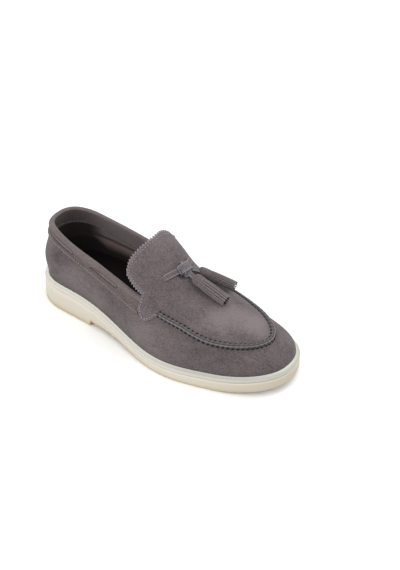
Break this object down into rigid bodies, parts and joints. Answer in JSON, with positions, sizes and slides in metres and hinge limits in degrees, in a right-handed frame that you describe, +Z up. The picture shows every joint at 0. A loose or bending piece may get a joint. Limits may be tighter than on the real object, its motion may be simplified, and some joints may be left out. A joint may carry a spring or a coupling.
{
  "type": "tassel loafer",
  "caption": "Right suede tassel loafer: hollow upper, apron with tongue, raised seam, laced collar band, two-colour rubber sole with a low heel breast.",
  "frame": {"origin": "centre of the bounding box at the floor the shoe stands on", "axes": "+X from heel to toe, +Y towards the inner side of the foot, +Z up"},
  "size_m": [0.3, 0.1142, 0.1131],
  "materials": {
    "outsole_rubber": "matt cream rubber",
    "strip_rubber": "matt off-white rubber",
    "insole_leather": "dark smooth leather",
    "suede": "warm grey suede",
    "apron_suede": "warm grey suede, slightly lighter",
    "trim_suede": "grey suede lace and tassels"
  },
  "bodies": {
    "root": {"outsole": "outsole_rubber", "midsole": "strip_rubber", "insole": "insole_leather", "upper": "suede", "apron": "apron_suede", "moc_seam": "suede", "collar_band": "suede", "collar_lace_heel": "trim_suede", "collar_lace_lateral": "trim_suede", "collar_lace_medial": "trim_suede", "tassel_tie": "trim_suede", "tassel_lateral": "trim_suede", "tassel_medial": "trim_suede"}
  },
  "joints": []
}
